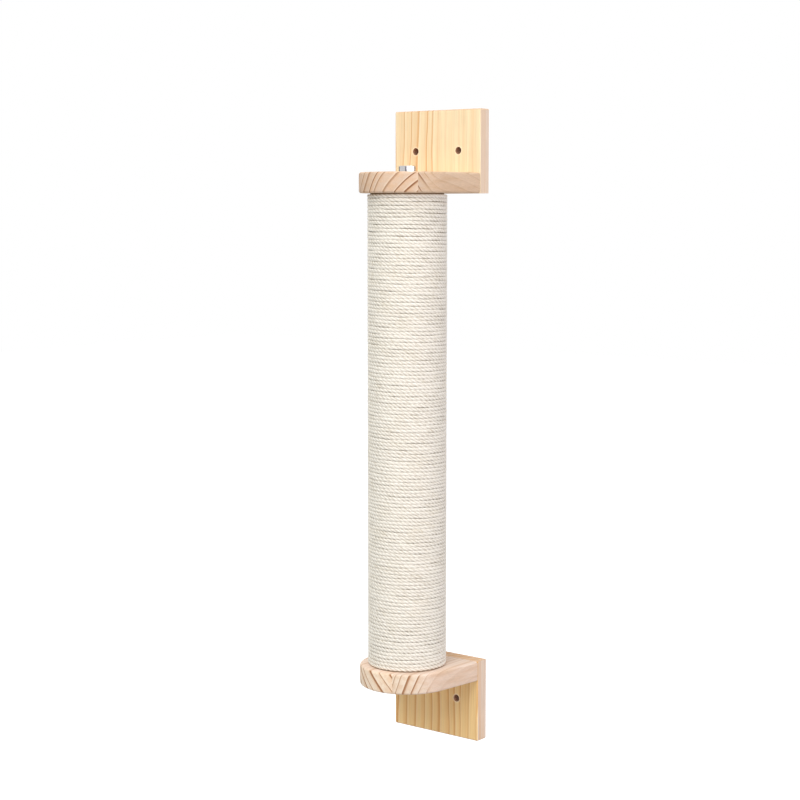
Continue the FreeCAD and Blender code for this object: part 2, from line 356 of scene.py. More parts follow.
class Effects:
    """Shader node groups that more than one finish uses."""

    def __init__(self) -> None:
        """Build each group once."""
        self.rings = self.growth_rings()
        self.fibres = self.long_fibres()
        self.handling = self.handling_marks()

    def growth_rings(self) -> bpy.types.NodeTree:
        """Growth rings of a trunk whose grain runs along Z, in millimetres.

        The distance from the pith, over the ring width and shifted by a slow noise, counts the
        rings. Its fraction f runs from early wood to late wood: a pale band begins the ring,
        f ** 3 darkens it slowly, and a thin line closes it.

        Returns:
            The group.
        """
        tree, nodes, given, results = new_group(
            "growth_rings",
            {"Position": "Vector", "Pith": "Vector", "Ring Width": "Float", "Wander": "Float"},
            {"Late": "Float", "Line": "Float", "Pale": "Float", "Tone": "Float"})
        position = given["Position"]
        slow = nodes.vector("MULTIPLY", position, (0.02, 0.02, 0.010))
        drift = nodes.add("TexNoise", {"Vector": slow, "Scale": 1.0, "Detail": 1.5}).outputs["Color"]
        drift = nodes.scaled(nodes.vector("SUBTRACT", drift, (0.5, 0.5, 0.5)), given["Wander"])
        away = nodes.vector("ADD", nodes.vector("SUBTRACT", position, given["Pith"]), drift)
        away = nodes.vector("MULTIPLY", away, (1, 1, 0))
        count = nodes.math("DIVIDE", nodes.vector("LENGTH", away), given["Ring Width"])
        uneven = nodes.noise(nodes.joined(count, 0.0, 3.7), 0.55, 1.0)
        count = nodes.math("ADD", count, nodes.times(uneven, 1.3))
        share = nodes.math("FRACT", count)
        closing = nodes.fade(share, 0.965, 1.0, 1.0, 0.0)
        number = nodes.joined(nodes.math("FLOOR", count), 0.0, 0.0)
        tone = nodes.add("TexWhiteNoise", {"Vector": number}, noise_dimensions="3D").outputs["Value"]
        nodes.put(results["Late"], nodes.times(nodes.math("POWER", share, 3.0), closing))
        nodes.put(results["Line"], nodes.times(nodes.fade(share, 0.74, 0.90), closing))
        nodes.put(results["Pale"], nodes.fade(share, 0.02, 0.22, 1.0, 0.0))
        nodes.put(results["Tone"], tone)
        return tree

    def long_fibres(self) -> bpy.types.NodeTree:
        """Streaks that run along Z: noise squeezed along the grain by the given stretch.

        Returns:
            The group.
        """
        tree, nodes, given, results = new_group(
            "long_fibres", {"Position": "Vector", "Width": "Float", "Stretch": "Float"},
            {"Streak": "Float", "Broad": "Float"})
        x, y, z = nodes.split(given["Position"])
        squeezed = nodes.joined(x, y, nodes.math("DIVIDE", z, given["Stretch"]))
        place = nodes.scaled(squeezed, nodes.math("DIVIDE", 1.0, given["Width"]))
        nodes.put(results["Streak"], nodes.noise(place, 1.0, 3.0, 0.6))
        nodes.put(results["Broad"], nodes.noise(place, 0.13, 2.0, 0.5))
        return tree

    def handling_marks(self) -> bpy.types.NodeTree:
        """Faint dust and handling marks: blotches over specks, 0 where clean.

        Returns:
            The group.
        """
        tree, nodes, given, results = new_group(
            "handling_marks", {"Position": "Vector", "Amount": "Float"}, {"Mask": "Float"})
        blotch = nodes.fade(nodes.noise(given["Position"], 0.05, 3.0, 0.6), 0.45, 0.75)
        speck = nodes.fade(nodes.noise(given["Position"], 1.3, 2.0, 0.7), 0.62, 0.75, 0.0, 0.6)
        both = nodes.math("ADD", blotch, speck, clamp=True)
        nodes.put(results["Mask"], nodes.times(both, given["Amount"]))
        return tree


# ---------------------------------------------------------------- finishes
@dataclass(frozen=True)
class Look:
    """A finish of the object.

    Attributes:
        name: The material's name.
    """

    name: str

    def material(self, effects: Effects) -> bpy.types.Material:
        """Build the material.

        Args:
            effects: The shared node groups.

        Returns:
            The material.
        """
        finish = Finish(self.name)
        self.fill(finish, effects)
        return finish.material

    def fill(self, finish: Finish, effects: Effects) -> None:
        """Join the look's nodes.

        Args:
            finish: The material under way.
            effects: The shared node groups.
        """
        raise NotImplementedError


class Grain(Enum):
    """Which way a board's grain runs."""

    UPRIGHT = "along the post"
    OUTWARD = "away from the wall"


@dataclass(frozen=True)
class Strip:
    """One sawn strip of a board.

    Attributes:
        pith: Where its pith lies across the grain, in millimetres.
        ring_width: Millimetres from ring to ring.
        tone: Share of the board's brightness that it has.
    """

    pith: tuple[float, float]
    ring_width: float
    tone: float = 1.0


@dataclass(frozen=True)
class Pine(Look):
    """Planed, unvarnished pine of one board, which may be glued up from two strips.

    Attributes:
        grain: Which way the grain runs.
        left: The strip left of the glue line.
        right: The strip right of it.
        early: Colour of the early wood.
        late: Colour of the late wood.
        line: Colour of the line that closes a ring.
        end_wood: Colour of the end grain.
        side_light_tint: Pinkish tint painted on the long grain that faces sideways, for the light that falls
            on those sides.
        pale: Colour of the band that begins a ring.
        dust: Colour of the handling marks.
        rim_highlight: Colour of the highlight painted round each hole's rim.
        bore_wood_and_shade: Colour of a hole's wall: darker end grain, with the shade down in the hole
            painted in.
        joint: X of the glue line between the strips, in millimetres.
        wander: How far the rings stray, in millimetres.
        contrast: How strongly the rings show on long grain.
        side_contrast: Share of that on the sides.
        calm_from: X from which the rings fade, in millimetres.
        holes: X and Z of the wall holes, which mirror in X, or None.
        hole_radius: Radius of the wall holes, in millimetres.
    """

    grain: Grain
    left: Strip
    right: Strip
    early: Colour = srgb(240, 213, 183)
    late: Colour = srgb(216, 172, 126)
    line: Colour = srgb(134, 82, 46)
    end_wood: Colour = srgb(230, 204, 178)
    side_light_tint: Colour = srgb(236, 210, 188)
    pale: Colour = srgb(252, 236, 214)
    dust: Colour = srgb(190, 160, 125)
    rim_highlight: Colour = srgb(255, 240, 205)
    bore_wood_and_shade: Colour = srgb(182, 140, 112)
    joint: float = 500.0
    wander: float = 9.0
    contrast: float = 0.45
    side_contrast: float = 0.55
    calm_from: float = 500.0
    holes: tuple[float, float] | None = None
    hole_radius: float = 3.0

    def fill(self, finish: Finish, effects: Effects) -> None:
        """Join the board's nodes: rings and fibres over early wood, end wood and side wood.

        Args:
            finish: The material under way.
            effects: The shared node groups.
        """
        nodes, where = finish.nodes, finish.object_position()
        x, y, z = nodes.split(where)
        facing = nodes.facing()
        upright = self.grain is Grain.UPRIGHT
        log = where if upright else nodes.joined(x, z, y)
        on_end = nodes.fade(facing[2 if upright else 1], 0.25, 0.8)
        on_side = nodes.fade(facing[0], 0.82, 0.98)
        right_strip = nodes.math("GREATER_THAN", x, self.joint)
        rings = self.rings(nodes, log, right_strip, effects)
        fibres = nodes.group(effects.fibres, Position=log, Width=0.45, Stretch=60.0)
        strength = nodes.times(nodes.fade(on_end, 0.0, 1.0, self.contrast, 1.0),
                               nodes.fade(x, self.calm_from, self.calm_from + 8, 1.0, 0.4),
                               nodes.fade(on_side, 0.0, 1.0, 1.0, self.side_contrast))
        pale = nodes.times(rings["Pale"], nodes.fade(on_end, 0.0, 1.0, 0.2, 0.25), strength)
        tone = nodes.fade(rings["Tone"], 0.0, 0.7, 0.55, 1.0)
        # The second colour is a pinkish tint painted on the faces that look sideways, for the light that
        # falls on them.
        colour = nodes.layered(
            self.early, (nodes.times(on_side, 0.85), self.side_light_tint), (on_end, self.end_wood),
            (nodes.fade(fibres["Broad"], 0.35, 0.7, 0.0, 0.35), self.late), (pale, self.pale),
            (nodes.times(rings["Late"], tone, strength), self.late),
            (nodes.times(rings["Line"], tone, strength, strength), self.line))
        streak = nodes.times(nodes.fade(fibres["Streak"], 0.3, 0.7, 0.92, 1.05),
                             nodes.fade(right_strip, 0.0, 1.0, self.left.tone, self.right.tone))
        colour = nodes.mix(1.0, colour, nodes.joined(streak, streak, streak), "MULTIPLY")
        marks = nodes.group(effects.handling, Position=where, Amount=0.06)["Mask"]
        colour = nodes.mix(marks, colour, self.dust)
        if self.holes is not None:
            colour = self.bored(nodes, colour, x, z)
        relief = nodes.math("ADD", nodes.times(fibres["Streak"], 0.6), nodes.times(rings["Tone"], 0.02))
        finish.set(Base_Color=colour, Roughness=nodes.fade(fibres["Streak"], 0.3, 0.7, 0.58, 0.7),
                   Specular_IOR_Level=0.35, Normal=nodes.bumped(relief, 0.08 * MM))

    def rings(self, nodes: Shading, log: Value, right_strip: Value,
              effects: Effects) -> bpy.types.bpy_prop_collection:
        """Growth rings of the strip that each place is on.

        Args:
            nodes: The material's nodes.
            log: Place with the grain along Z.
            right_strip: 1 on the strip right of the glue line, 0 on the other.
            effects: The shared node groups.

        Returns:
            The outputs of the growth rings' group.
        """
        piths = {0: right_strip, 4: (*self.left.pith, 0.0), 5: (*self.right.pith, 0.0)}
        pith = nodes.add("Mix", piths, data_type="VECTOR").outputs[1]
        width = nodes.fade(right_strip, 0.0, 1.0, self.left.ring_width, self.right.ring_width)
        return nodes.group(effects.rings, Position=log, Pith=pith, Ring_Width=width, Wander=self.wander)

    def bored(self, nodes: Shading, colour: Value, x: Value, z: Value) -> bpy.types.NodeSocket:
        """Darken the drilled walls of the holes, partly as painted shade, and paint a highlight round their
        rims.

        Args:
            nodes: The material's nodes.
            colour: The board's colour so far.
            x: Place along the wall.
            z: Place up the wall.

        Returns:
            The colour with the holes.
        """
        aside = nodes.math("SUBTRACT", nodes.math("ABSOLUTE", x), self.holes[0])
        above = nodes.math("SUBTRACT", z, self.holes[1])
        past_rim = nodes.math("SUBTRACT", nodes.vector("LENGTH", nodes.joined(aside, 0.0, above)),
                              self.hole_radius)
        # The last layer darkens the hole's wall, partly as painted shade.
        return nodes.layered(colour, (nodes.fade(past_rim, 0.1, 1.6, 0.6, 0.0), self.rim_highlight),
                             (nodes.fade(past_rim, 0.02, 0.12, 1.0, 0.0), self.bore_wood_and_shade))


@dataclass(frozen=True)
class Cord(Look):
    """Cream natural rope: fibres along each strand, soft and dull, with shade painted into the hollows.

    Attributes:
        light: Colour of the cleanest fibres.
        shade: Colour between the fibres.
        hollow_shade_colour: Colour of the shade painted down in the hollows between strands and turns.
        stray: Colour of the coarse, darker fibres.
        dust: Colour of the handling marks.
    """

    name: str = "cream_rope"
    light: Colour = srgb(252, 249, 240)
    shade: Colour = srgb(226, 219, 202)
    hollow_shade_colour: Colour = srgb(186, 174, 152)
    stray: Colour = srgb(200, 187, 160)
    dust: Colour = srgb(205, 190, 150)

    def fill(self, finish: Finish, effects: Effects) -> None:
        """Join the rope's nodes, on its own coordinates: along it, and round it with the strands.

        Args:
            finish: The material under way.
            effects: The shared node groups.
        """
        nodes, where = finish.nodes, finish.object_position()
        along, around, _ = nodes.split(nodes.add("UVMap", uv_map="along").outputs["UV"])
        place = nodes.joined(nodes.times(around, 9.0), nodes.times(along, 0.05), along)
        fibres = nodes.group(effects.fibres, Position=place, Width=0.30, Stretch=9.0)
        coarse = nodes.group(effects.fibres, Position=place, Width=0.85, Stretch=7.0)["Streak"]
        marks = nodes.group(effects.handling, Position=where, Amount=0.10)["Mask"]
        # Share of shade to paint, read from the rope's own attribute.
        hollow_shade = nodes.add("Attribute", attribute_name="hollow_shade").outputs["Fac"]
        streak = nodes.fade(fibres["Streak"], 0.32, 0.68)
        # The second to last layer paints shade into the rope's hollows; the last one is dust.
        colour = nodes.layered(
            self.light, (nodes.times(streak, 0.55), self.shade),
            (nodes.fade(coarse, 0.54, 0.70, 0.0, 0.6), self.stray),
            (nodes.fade(fibres["Broad"], 0.35, 0.7, 0.0, 0.35), self.light),
            (nodes.fade(hollow_shade, 0.3, 1.0, 0.0, 0.6), self.hollow_shade_colour), (marks, self.dust))
        finish.set(Base_Color=colour, Roughness=nodes.fade(streak, 0.0, 1.0, 0.8, 0.95),
                   Specular_IOR_Level=0.2, Sheen_Weight=0.15, Sheen_Roughness=0.6,
                   Normal=nodes.bumped(streak, 0.10 * MM))


@dataclass(frozen=True)
class Zinc(Look):
    """Bright zinc plate: pale metal with fine brushing, cloudy, dark reflections painted at a bolt head's
    corners.

    Attributes:
        colour: Colour of the clean plate.
        tarnish_and_dark_reflection: Colour of the dull marks and of the dark reflections painted at the
            head's corners.
        axis_y: Y of the bolts' axis, in millimetres; their heads have corners every 60 degrees.
    """

    name: str = "bright_zinc"
    colour: Colour = srgb(204, 206, 211)
    tarnish_and_dark_reflection: Colour = srgb(74, 75, 80)
    axis_y: float = -52.0

    def fill(self, finish: Finish, effects: Effects) -> None:
        """Join the plated metal's nodes; cos(6 * angle round the axis) is 1 at a head's corners, where dark
        reflections are painted.

        Args:
            finish: The material under way.
            effects: The shared node groups.
        """
        nodes, where = finish.nodes, finish.object_position()
        brushed = nodes.group(effects.fibres, Position=where, Width=0.12, Stretch=8.0)["Streak"]
        # Handling marks, made strong enough to stand in partly for dark reflections in the plate.
        marks = nodes.group(effects.handling, Position=where, Amount=0.35)["Mask"]
        x, y, _ = nodes.split(where)
        angle = nodes.math("ARCTAN2", nodes.math("SUBTRACT", y, self.axis_y), x)
        # Dark reflection painted on the head's sides near each of its corners.
        corner = nodes.fade(nodes.math("COSINE", nodes.times(angle, 6.0)), 0.55, 0.97)
        on_side = nodes.fade(nodes.facing()[2], 0.3, 0.6, 0.85, 0.0)
        colour = nodes.layered(self.colour, (marks, self.tarnish_and_dark_reflection),
                               (nodes.times(corner, on_side), self.tarnish_and_dark_reflection))
        finish.set(Base_Color=colour, Metallic=1.0, Roughness=nodes.fade(brushed, 0.3, 0.7, 0.24, 0.4),
                   Normal=nodes.bumped(brushed, 0.02 * MM))


@dataclass(frozen=True)
class TurnedWood(Look):
    """Raw turned wood of the plugs and dowels: close rings, fine tool marks round the piece.

    Attributes:
        pale: Colour of the early wood.
        dark: Colour of the late wood.
        pith: Where the pith lies, in millimetres.
    """

    name: str = "turned_wood"
    pale: Colour = srgb(226, 196, 152)
    dark: Colour = srgb(186, 146, 100)
    pith: tuple[float, float, float] = (35.0, 10.0, 0.0)

    def fill(self, finish: Finish, effects: Effects) -> None:
        """Join the turned wood's nodes.

        Args:
            finish: The material under way.
            effects: The shared node groups.
        """
        nodes, where = finish.nodes, finish.object_position()
        rings = nodes.group(effects.rings, Position=where, Pith=self.pith, Ring_Width=2.2, Wander=6.0)
        fibres = nodes.group(effects.fibres, Position=where, Width=0.4, Stretch=30.0)
        colour = nodes.layered(self.pale, (rings["Late"], self.dark),
                               (nodes.times(fibres["Broad"], 0.3), self.dark))
        tool_marks = nodes.math("SINE", nodes.times(nodes.split(where)[2], 9.0))
        finish.set(Base_Color=colour, Roughness=nodes.fade(fibres["Streak"], 0.3, 0.7, 0.6, 0.75),
                   Normal=nodes.bumped(tool_marks, 0.02 * MM))


@dataclass(frozen=True)
class WoundBoard(Look):
    """Grey-brown board of the tube, in plies wound on a slant, with paper fibres.

    Attributes:
        face: Colour of the board.
        seam: Colour of the seams and the darker fibres.
        ply_width: Distance from seam to seam up the post, in millimetres.
        axis_y: Y of the tube's axis, in millimetres.
    """

    name: str = "wound_board"
    face: Colour = srgb(172, 148, 116)
    seam: Colour = srgb(128, 106, 80)
    ply_width: float = 90.0
    axis_y: float = -52.0

    def fill(self, finish: Finish, effects: Effects) -> None:
        """Join the tube's nodes; a seam lies where turns + height / ply width is a whole number.

        Args:
            finish: The material under way.
            effects: The shared node groups.
        """
        nodes, where = finish.nodes, finish.object_position()
        x, y, z = nodes.split(where)
        angle = nodes.math("ARCTAN2", nodes.math("SUBTRACT", y, self.axis_y), x)
        turns = nodes.math("DIVIDE", angle, math.tau)
        slant = nodes.math("ADD", nodes.math("DIVIDE", z, self.ply_width), turns)
        edge = nodes.fade(nodes.math("FRACT", slant), 0.0, 0.012, 1.0, 0.0)
        streak = nodes.group(effects.fibres, Position=nodes.joined(z, x, y), Width=0.6, Stretch=5.0)["Streak"]
        colour = nodes.layered(self.face, (nodes.times(streak, 0.4), self.seam), (edge, self.seam))
        finish.set(Base_Color=colour, Roughness=nodes.fade(streak, 0.3, 0.7, 0.75, 0.9),
                   Normal=nodes.bumped(edge, -0.2 * MM))


# ---------------------------------------------------------------- the object's sub-assemblies
@dataclass
class Bracket:
    """One pine bracket: the wall plate as packed, and the shelf with its rounded edges.

    Attributes:
        end: upper or lower.
        plate: The wall plate's pine.
        board: The shelf's pine.
        edge_round: Radius of the shelf's eased edges.
        hole_radius: Radius of the bolt's hole.
        nose_points: Points along the round nose.
        edge_points: Points along each straight edge.
        edge_faces: Faces across an eased edge.
        against: How near the wall plate an edge counts as lying against it.
    """

    end: str
    plate: Pine
    board: Pine
    edge_round: float = 1.9 * MM
    hole_radius: float = 4.5 * MM
    nose_points: int = 72
    edge_points: int = 10
    edge_faces: int = 5
    against: float = 0.1 * MM

    def outline(self, axis: Vector, nose: float) -> np.ndarray:
        """Closed outline of the shelf seen from above.

        A circle round the post's axis makes the nose. Straight lines touch it and run to the
        corners at the wall plate, so the touching angle is the corner's angle less
        acos(nose / distance to the corner).

        Args:
            axis: Place of the post's axis.
            nose: Radius of the nose.

        Returns:
            Points round the outline, from the left of the nose round its front, by the plate and back.
        """
        low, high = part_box(self.end + "_shelf")
        corner = np.array([high.x, high.y])
        centre = np.array([axis.x, axis.y])
        spoke = corner - centre
        touch = math.atan2(spoke[1], spoke[0]) - math.acos(nose / np.hypot(*spoke))
        turn = np.linspace(-math.pi - touch, touch, self.nose_points)
        arc = centre + nose * np.stack([np.cos(turn), np.sin(turn)], axis=1)
        left_corner = np.array([low.x, high.y])
        along = np.linspace(0, 1, self.edge_points, endpoint=False)[:, None]
        right = arc[-1] + (corner - arc[-1]) * along[1:]
        back = corner + (left_corner - corner) * along
        left = left_corner + (arc[0] - left_corner) * along
        return np.concatenate([arc, right, back, left])

    def shelf(self, axis: Vector) -> bpy.types.Object:
        """Build the shelf: a board round the bolt's hole, its free edges rounded over.

        Each point of the outline has a partner on the hole, in the same direction from the axis,
        and rows between the two make the faces.

        Args:
            axis: Place of the post's axis.

        Returns:
            The piece.
        """
        low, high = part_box(self.end + "_shelf")
        centre = np.array([axis.x, axis.y])
        rim = self.outline(axis, centre[1] - low.y)
        spokes = rim - centre
        hole = centre + spokes / np.linalg.norm(spokes, axis=1)[:, None] * self.hole_radius
        middle = hole + (rim - hole) * 0.5
        rows = [(hole, high.z), (middle, high.z), (rim, high.z), (rim, low.z), (middle, low.z), (hole, low.z)]
        points = np.stack([np.column_stack([flat, np.full(len(flat), z)]) for flat, z in rows])
        board = surface(self.end + "_board", points, wrap_rows=True)
        self.ease(board, high.y, len(rim))
        return board

    def ease(self, board: bpy.types.Object, back: float, columns: int) -> None:
        """Round the board's free edges over, and leave the edges at the plate sharp.

        Args:
            board: The piece.
            back: Y of the face at the wall plate.
            columns: Points round the outline.
        """
        mesh = board.data
        pairs = np.empty(len(mesh.edges) * 2, np.int32)
        mesh.edges.foreach_get("vertices", pairs)
        pairs = pairs.reshape(-1, 2)
        places = np.empty(len(mesh.vertices) * 3, np.float32)
        mesh.vertices.foreach_get("co", places)
        row = pairs // columns
        on_rim = (row[:, 0] == row[:, 1]) & np.isin(row[:, 0], (2, 3))
        free = places.reshape(-1, 3)[pairs][:, :, 1].min(axis=1) < back - self.against
        weight = mesh.attributes.new("bevel_weight_edge", "FLOAT", "EDGE")
        weight.data.foreach_set("value", (on_rim & free).astype(np.float32))
        bevel = board.modifiers.new("eased", "BEVEL")
        bevel.limit_method = "WEIGHT"
        bevel.width = self.edge_round
        bevel.segments = self.edge_faces
        eased = bpy.data.meshes.new_from_object(board.evaluated_get(bpy.context.evaluated_depsgraph_get()))
        board.modifiers.clear()
        board.data = eased
        eased.name = board.name
        smooth(eased, sharp_angle=28)

    def build(self, axis: Vector, effects: Effects) -> list[bpy.types.Object]:
        """Build and dress the bracket.

        Args:
            axis: Place of the post's axis.
            effects: The shared node groups.

        Returns:
            Its new pieces.
        """
        dress(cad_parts[self.end + "_wall_plate"], self.plate.material(effects))
        board = self.shelf(axis)
        dress(board, self.board.material(effects))
        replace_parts(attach(board, BODY), self.end + "_shelf")
        return [board]


@dataclass
class HexBolt:
    """Hexagon head bolt with a chamfered head, a washer face and a rolled thread.

    Attributes:
        end: upper or lower.
        across_flats: Width of the head over its flats.
        chamfer: Slope of the head's chamfer, in degrees.
        crown: Radius of the head's flat top, as a share of half the width over flats.
        middle: Radius of the ring of points inside the flat top, as the same share.
        washer_face: Height of the round face under the head.
        washer: Radius of that face, as the same share, where it begins and ends.
        thread_pitch: Distance from thread to thread.
        thread_depth: Depth of the thread on the radius.
        thread_length: Length of the threaded part.
        shank_radius: Radius of the shank.
        taper: Length and depth of the tip's taper.
        columns: Points round the bolt, a multiple of six.
    """

    end: str
    across_flats: float = 13 * MM
    chamfer: float = 30.0
    crown: float = 0.97
    middle: float = 0.45
    washer_face: float = 0.4 * MM
    washer: tuple[float, float] = (0.96, 0.94)
    thread_pitch: float = 1.25 * MM
    thread_depth: float = 0.65 * MM
    thread_length: float = 24 * MM
    shank_radius: float = 3.95 * MM
    taper: tuple[float, float] = (1.2 * MM, 0.4 * MM)
    columns: int = 48

    def head(self, height: float) -> np.ndarray:
        """Rows of the head, from the top's middle down to the shank.

        At angle a from a flat's middle the hexagon's radius is flat / cos a. The chamfer is a
        cone, so there the side ends at height - (radius - flat) tan(chamfer).

        Args:
            height: The head's height.

        Returns:
            Radius and height by row and column.
        """
        angle = np.linspace(0, 2 * math.pi, self.columns, endpoint=False)
        flat = self.across_flats / 2
        hexagon = flat / np.cos(np.mod(angle, math.pi / 3) - math.pi / 6)
        shoulder = height - (hexagon - flat * self.crown) * math.tan(math.radians(self.chamfer))
        rows = [(flat * self.middle, height), (flat * self.crown, height), (hexagon, shoulder),
                (hexagon, self.washer_face), (flat * self.washer[0], self.washer_face),
                (flat * self.washer[1], 0.0)]
        even = [[np.broadcast_to(value, self.columns) for value in row] for row in rows]
        return np.array(even).transpose(0, 2, 1)

    def shank(self, length: float) -> np.ndarray:
        """Rows of the shank: plain, then threaded, then a short taper at the tip.

        The thread's depth is a triangle wave of turns + height / pitch, faded in over its first
        turn.

        Args:
            length: The shank's length.

        Returns:
            Radius and height by row and column.
        """
        turns = np.linspace(0, 1, self.columns, endpoint=False)
        plain = length - self.thread_length
        down = np.arange(plain, length - self.taper[0], self.thread_pitch / 8)
        height = np.concatenate([[0.0], -down])[:, None]
        triangle = np.abs(2 * np.mod(turns + height / self.thread_pitch, 1) - 1)
        fade = np.clip((-height - plain) / self.thread_pitch, 0, 1)
        radius = self.shank_radius - self.thread_depth * triangle * fade
        tip = np.full((1, self.columns), self.shank_radius - self.thread_depth - self.taper[1])
        height = np.concatenate([height, [[-length]]]) * np.ones(self.columns)
        return np.stack([np.concatenate([radius, tip]), height], axis=-1)

    def build(self, axis: Vector, metal: bpy.types.Material) -> list[bpy.types.Object]:
        """Build and dress the bolt.

        Args:
            axis: Place of the post's axis.
            metal: The plated metal.

        Returns:
            Its pieces.
        """
        low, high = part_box(self.end + "_post_bolt")
        shelf_low, shelf_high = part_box(self.end + "_shelf")
        upper = self.end == "upper"
        seat = shelf_high.z if upper else shelf_low.z
        head_height = high.z - seat if upper else seat - low.z
        rows = np.concatenate([self.head(head_height), self.shank(high.z - low.z - head_height)])
        angle = np.linspace(0, 2 * math.pi, self.columns, endpoint=False)
        up = 1 if upper else -1
        radius, level = rows[..., 0], rows[..., 1]
        points = np.stack([axis.x + radius * np.cos(angle), axis.y + radius * np.sin(angle) * up,
                           seat + level * up], axis=-1)
        bolt = surface(self.end + "_bolt", points, caps=True, sharp_angle=25)
        dress(bolt, metal)
        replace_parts(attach(bolt, BODY), self.end + "_post_bolt")
        return [bolt]


@dataclass
class RopeWinding:
    """The rope wound on the post in one layer, its two ends tucked in through the tube's rim.

    Attributes:
        turns: Turns from one end of the post to the other.
        radial_half: Half the rope's depth, square to the post.
        fullness: Height that the rope would have, as a share of a turn's, if its neighbours
            didn't press it flat.
        strands: Strands laid together.
        lay: Length in which a strand goes once round the rope.
        strand_share: Strand radius as a share of the rope's.
        step: Distance between the rope's cross sections.
        parts: Pieces that the rope is divided into.
        bend: Radius of the bend at each tucked end.
        end_gap: From a shelf to the middle of the first turn.
        tuck_radius: How near the post's axis the tucked ends come.
        settled_turns: Turns in which the level end turns settle into the even slope.
        step_down: Fractions of a level turn between which it steps down.
        sway: How far the turns stray up and down.
        dent: How far they are pressed in.
        swell: Share by which the rope's thickness varies.
        deepest: Part of the rope's radius at which a dip between strands counts as deepest, for the painted
            shade.
        bend_turns: Part of a turn that the bends at both ends take from the winding.
        quick_step: How many times longer the steps would be in a coarser build; not used.
    """

    turns: int = 132
    radial_half: float = 1.36 * MM
    fullness: float = 1.36
    strands: int = 3
    lay: float = 12.2 * MM
    strand_share: float = 0.53
    step: float = 0.62 * MM
    parts: int = 8
    bend: float = 2.7 * MM
    end_gap: float = 2.45 * MM
    tuck_radius: float = 26.4 * MM
    settled_turns: float = 12.0
    step_down: tuple[float, float] = (0.86, 0.98)
    sway: float = 0.11 * MM
    dent: float = 0.035 * MM
    swell: float = 0.022
    deepest: float = 0.38
    bend_turns: float = 0.03
    quick_step: int = 3

    def levelled(self, turns: np.ndarray) -> np.ndarray:
        """How far the end turns stay behind the even slope, in turns.

        The first turn lies level against the shelf and steps down near its end, so it stays
        behind by f - step(f) at its fraction f. Later turns do so less and less.

        Args:
            turns: Turns from the post's end.

        Returns:
            The lag, in turns.
        """
        fraction = np.mod(turns, 1)
        begin, end = self.step_down
        share = np.clip((fraction - begin) / (end - begin), 0, 1)
        step = share * share * (3 - 2 * share)
        return (fraction - step) * np.clip(1 - turns / self.settled_turns, 0, 1)

    def helix(self, top: float, radius: float) -> np.ndarray:
        """Centre line of the turns: (r cos a, r sin a, z), with small uneven steps.

        Args:
            top: Height of the first turn's start above the post's middle.
            radius: Distance from the post's axis.

        Returns:
            Points, evenly spaced.
        """
        start = math.pi / 2 + math.asin(self.bend / (radius - self.bend))
        sweep = self.turns * 2 * math.pi - 2 * (start - math.pi / 2)
        share = np.linspace(0, 1, int(sweep * radius / self.step))
        angle = start + sweep * share
        ends = np.minimum(1, np.minimum(share, 1 - share) * self.turns)
        sway = wave(angle, 2.3, 1.9, 0.31) + wave(angle, 5.1, phase=0.7) + 0.6 * wave(angle, 11.7, 2.0, 0.53)
        distance = radius + self.dent * (wave(angle, 3.7, 1.1, 0.23) - 1.0) * ends
        turns = sweep / (2 * math.pi)
        lag = self.levelled(turns * share) - self.levelled(turns * (1 - share))
        height = top - 2 * top * (share - lag / turns) + self.sway * sway * ends
        return np.stack([distance * np.cos(angle), distance * np.sin(angle), height], axis=1)

    def tuck(self, joint: np.ndarray, along: np.ndarray) -> np.ndarray:
        """Centre line from inside the tube to the start of the turns: a straight run and a bend.

        The bend is an arc centre - (inward cos b + along sin b) * bend, for b from the swing that
        makes the straight run point outwards down to 0.

        Args:
            joint: Where the turns begin.
            along: Level direction of the rope there.

        Returns:
            Points from the tucked end to just before the joint.
        """
        inward = -joint * (1, 1, 0)
        inward /= np.linalg.norm(inward)
        swing = abs(math.atan2(joint[1], joint[0]))
        centre = joint + inward * self.bend
        angle = np.linspace(swing, 0, int(swing * self.bend / self.step) + 2)[:, None]
        arc = centre - (inward * np.cos(angle) + along * np.sin(angle)) * self.bend
        outward = along * math.cos(swing) - inward * math.sin(swing)
        reach = np.hypot(arc[0, 0], arc[0, 1]) - self.tuck_radius
        run = arc[0] - outward * np.arange(reach, 0, -self.step)[:, None]
        return np.concatenate([run, arc[:-1]])

    def centre_line(self, top: float, radius: float) -> np.ndarray:
        """Whole centre line, about the post's middle.

        The far end is the near one turned half round the Y axis: (-x, y, -z).

        Args:
            top: Height of the first turn.
            radius: Distance of the rope's middle from the post's axis.

        Returns:
            Points from the upper tucked end to the lower one.
        """
        turns = self.helix(top, radius)
        first = turns[0]
        along = np.array([-first[1], first[0], 0.0])
        start = self.tuck(first, along / np.linalg.norm(along))
        end = (start * (-1, 1, -1))[::-1]
        return np.concatenate([start, turns, end])

    def section_angles(self) -> np.ndarray:
        """Directions of a cross section's points, close together where the rope shows."""
        return np.radians(np.concatenate([np.linspace(-105, 105, 9), (145, 180, 215)]))

